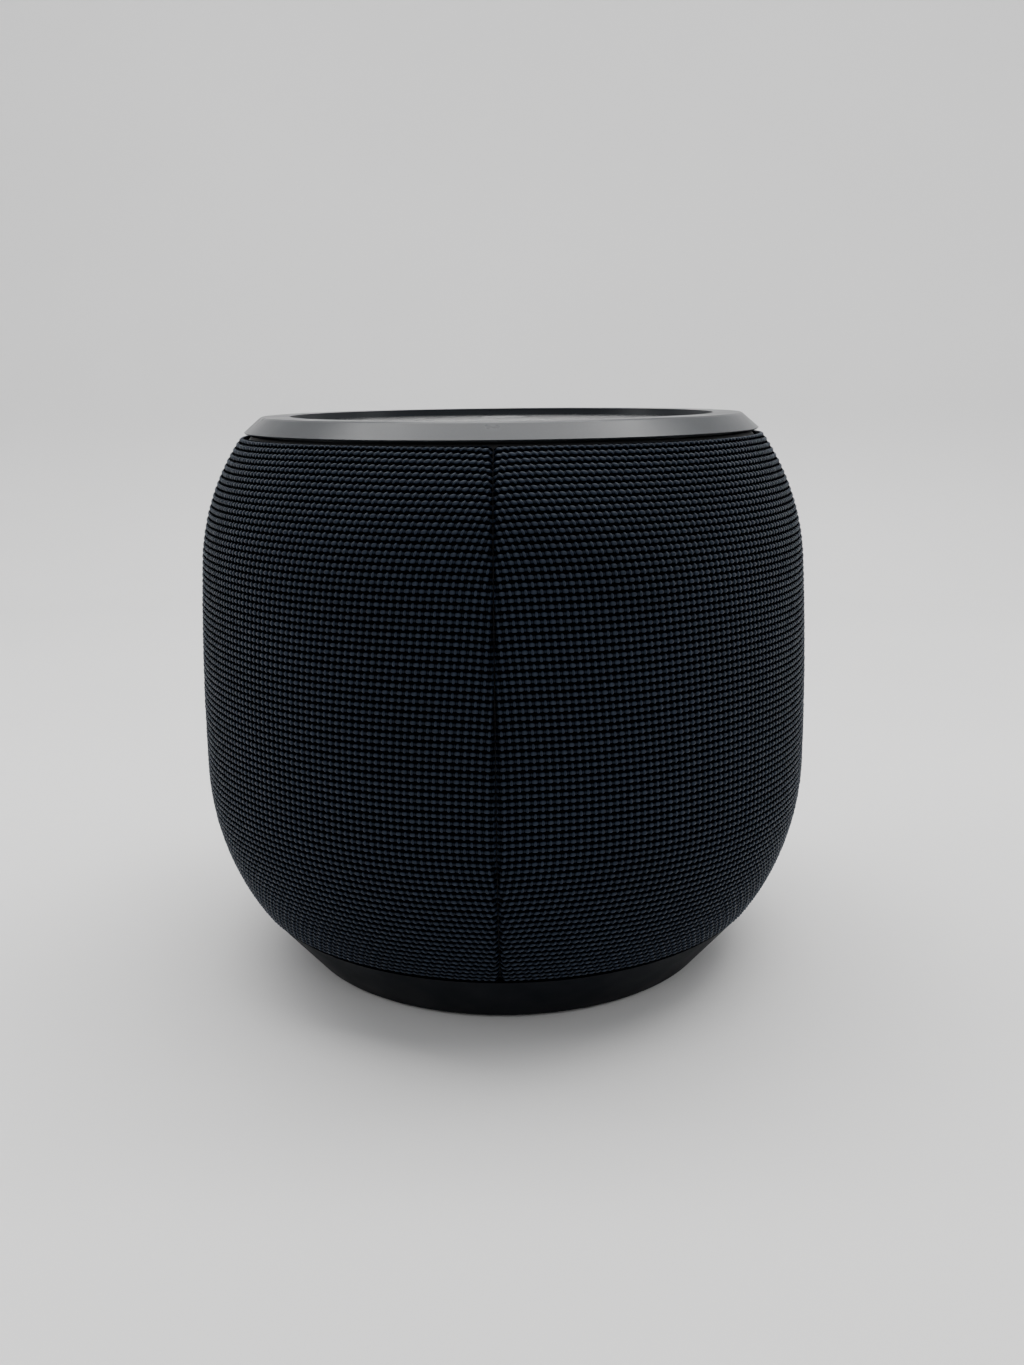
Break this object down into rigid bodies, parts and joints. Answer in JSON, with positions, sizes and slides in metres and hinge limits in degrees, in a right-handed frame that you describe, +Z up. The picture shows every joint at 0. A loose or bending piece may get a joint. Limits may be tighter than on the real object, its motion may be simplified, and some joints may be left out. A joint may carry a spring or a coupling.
{
  "type": "smart home hub",
  "caption": "Barrel-shaped smart home hub: fabric-sleeved body on a tapered base ring, with a bevelled rim round a recessed control panel; speaker and electronics inside.",
  "frame": {"origin": "on the axis of the barrel, at the level of the foot ring's underside", "axes": "+Z up along the barrel's axis, -Y toward the sleeve's front seam, +Y toward the power socket"},
  "size_m": [0.128, 0.128, 0.1144],
  "materials": {
    "knit": "coarse woven textile, near-black navy",
    "cage_plastic": "matte black",
    "rim_plastic": "satin dark grey metallic paint",
    "panel_glass": "gloss black",
    "light_guide": "smoked translucent plastic",
    "base_plastic": "satin near-black",
    "foot_rubber": "matte black rubber",
    "key_plastic": "satin black",
    "circuit_board": "green solder mask",
    "chip": "black epoxy",
    "led_white": "clear resin",
    "steel": "zinc-plated",
    "aluminium": "plain",
    "driver_metal": "black coated pressed steel",
    "ferrite": "dark grey ferrite",
    "cone_paper": "coated paper pulp",
    "soft_rubber": "butyl rubber",
    "spider_cloth": "resin-treated cloth",
    "copper": "enamelled copper wire",
    "chamber_plastic": "black moulded",
    "foam": "closed-cell foam",
    "film": "amber polyimide film",
    "strip": "adhesive-backed tape",
    "lead_jacket": "black jacket"
  },
  "bodies": {
    "housing": {"fabric_panel_left": "knit", "fabric_panel_right": "knit", "seam_strips": "strip", "grille_cage_lower": "cage_plastic", "grille_cage_upper": "cage_plastic", "base_cover": "base_plastic", "foot_ring": "foot_rubber", "power_board": "circuit_board", "power_board_screws": "steel", "usb_socket": "steel", "power_components": "chip", "sound_deflector": "cage_plastic", "driver_basket": "driver_metal", "driver_top_plate": "steel", "driver_magnet": "ferrite", "driver_yoke": "steel", "driver_surround": "soft_rubber", "driver_spider": "spider_cloth", "driver_gasket": "foam", "chamber_body": "chamber_plastic", "chamber_lid": "chamber_plastic", "chamber_gasket": "foam", "lead_grommet": "soft_rubber", "radiator_frame_right": "chamber_plastic", "radiator_surround_right": "soft_rubber", "radiator_frame_left": "chamber_plastic", "radiator_surround_left": "soft_rubber", "main_board": "circuit_board", "board_components": "chip", "shield_can": "steel", "thermal_pad": "foam", "heat_spreader": "aluminium", "antennas": "circuit_board", "rim_ring": "rim_plastic", "light_ring": "light_guide", "touch_panel": "panel_glass", "control_board": "circuit_board", "key_switches": "chip", "status_leds": "led_white", "microphones": "steel", "microphone_seals": "foam", "top_tray": "chamber_plastic", "power_lead": "lead_jacket", "speaker_lead": "lead_jacket", "flex_cable": "film", "short_screws": "steel", "long_screws": "steel", "board_screws": "steel"},
    "driver_diaphragm": {"driver_cone": "cone_paper", "dust_cap": "cone_paper", "coil_former": "aluminium", "coil_winding": "copper"},
    "radiator_right_mass": {"radiator_plate_right": "steel"},
    "radiator_left_mass": {"radiator_plate_left": "steel"},
    "volume_up": {"volume_up_key": "key_plastic"},
    "volume_down": {"volume_down_key": "key_plastic"},
    "action": {"action_key": "key_plastic"},
    "mic_mute": {"mic_mute_key": "key_plastic"},
    "reset": {"reset_button": "key_plastic"}
  },
  "joints": [
    {"name": "driver_travel", "type": "slide", "parent": "housing", "child": "driver_diaphragm", "axis": [0, 0, 1], "range_m": [-0.0035, 0.0035], "stiffness_N_per_m": 1500, "deforming": ["driver_surround", "driver_spider"]},
    {"name": "radiator_right_travel", "type": "slide", "parent": "housing", "child": "radiator_right_mass", "axis": [1, 0, 0], "range_m": [-0.0035, 0.0035], "stiffness_N_per_m": 1000, "deforming": ["radiator_surround_right"]},
    {"name": "radiator_left_travel", "type": "slide", "parent": "housing", "child": "radiator_left_mass", "axis": [-1, 0, 0], "range_m": [-0.0035, 0.0035], "stiffness_N_per_m": 1000, "deforming": ["radiator_surround_left"]},
    {"name": "volume_up_press", "type": "slide", "parent": "housing", "child": "volume_up", "axis": [0, 0, -1], "range_m": [0, 0.0005], "stiffness_N_per_m": 500},
    {"name": "volume_down_press", "type": "slide", "parent": "housing", "child": "volume_down", "axis": [0, 0, -1], "range_m": [0, 0.0005], "stiffness_N_per_m": 500},
    {"name": "action_press", "type": "slide", "parent": "housing", "child": "action", "axis": [0, 0, -1], "range_m": [0, 0.0005], "stiffness_N_per_m": 500},
    {"name": "mic_mute_press", "type": "slide", "parent": "housing", "child": "mic_mute", "axis": [0, 0, -1], "range_m": [0, 0.0005], "stiffness_N_per_m": 500},
    {"name": "reset_press", "type": "slide", "parent": "housing", "child": "reset", "axis": [0, 0, 1], "range_m": [0, 0.0006], "stiffness_N_per_m": 500}
  ]
}
